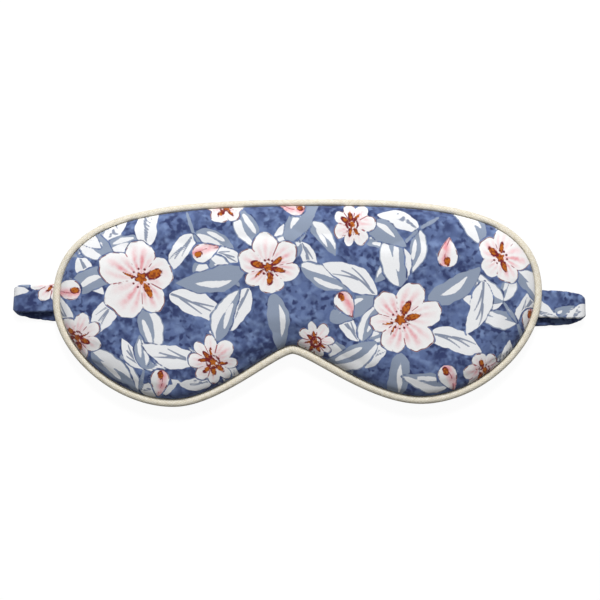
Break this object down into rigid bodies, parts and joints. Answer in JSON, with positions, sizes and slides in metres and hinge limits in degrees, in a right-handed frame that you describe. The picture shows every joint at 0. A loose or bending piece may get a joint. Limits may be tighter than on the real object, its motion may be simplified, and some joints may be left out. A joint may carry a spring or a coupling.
{
  "type": "padded sleep mask",
  "caption": "Padded cotton sleep mask with a nose notch, corded piping round its edge and a flat elastic head strap folded behind it.",
  "frame": {"origin": "on the table, under the middle of the box round the mask and its two strap folds", "axes": "+X to the right as the printed face is looked at, +Y from the nose to the brow, +Z out of the printed face; the mask lies face up on its folded strap"},
  "size_m": [0.2463, 0.0882, 0.0136],
  "materials": {
    "printed_cotton": "woven cotton with a floral print, matt",
    "wadding": "lofty polyester wadding",
    "blackout_cloth": "close woven black lining",
    "back_cotton": "plain woven cotton, matt",
    "piping_cotton": "cream cotton bias strip, fine diagonal weave",
    "cord_cotton": "twisted cotton cord",
    "strap_cotton": "woven cotton with a floral print, matt",
    "elastic": "woven elastic webbing"
  },
  "bodies": {
    "strap": {"strap_run_casing": "strap_cotton", "strap_run_elastic": "elastic"},
    "mask": {"front_panel": "printed_cotton", "wadding": "wadding", "blackout_lining": "blackout_cloth", "back_panel": "back_cotton", "piping_cover": "piping_cotton", "piping_cord": "cord_cotton", "left_strap_casing": "strap_cotton", "left_strap_elastic": "elastic", "right_strap_casing": "strap_cotton", "right_strap_elastic": "elastic"}
  },
  "joints": [
    {"name": "mask_lift", "type": "slide", "parent": "strap", "child": "mask", "axis": [0, 0, 1], "range_m": [0, 0.085], "deforming": ["left_strap_casing", "left_strap_elastic", "right_strap_casing", "right_strap_elastic"]}
  ]
}
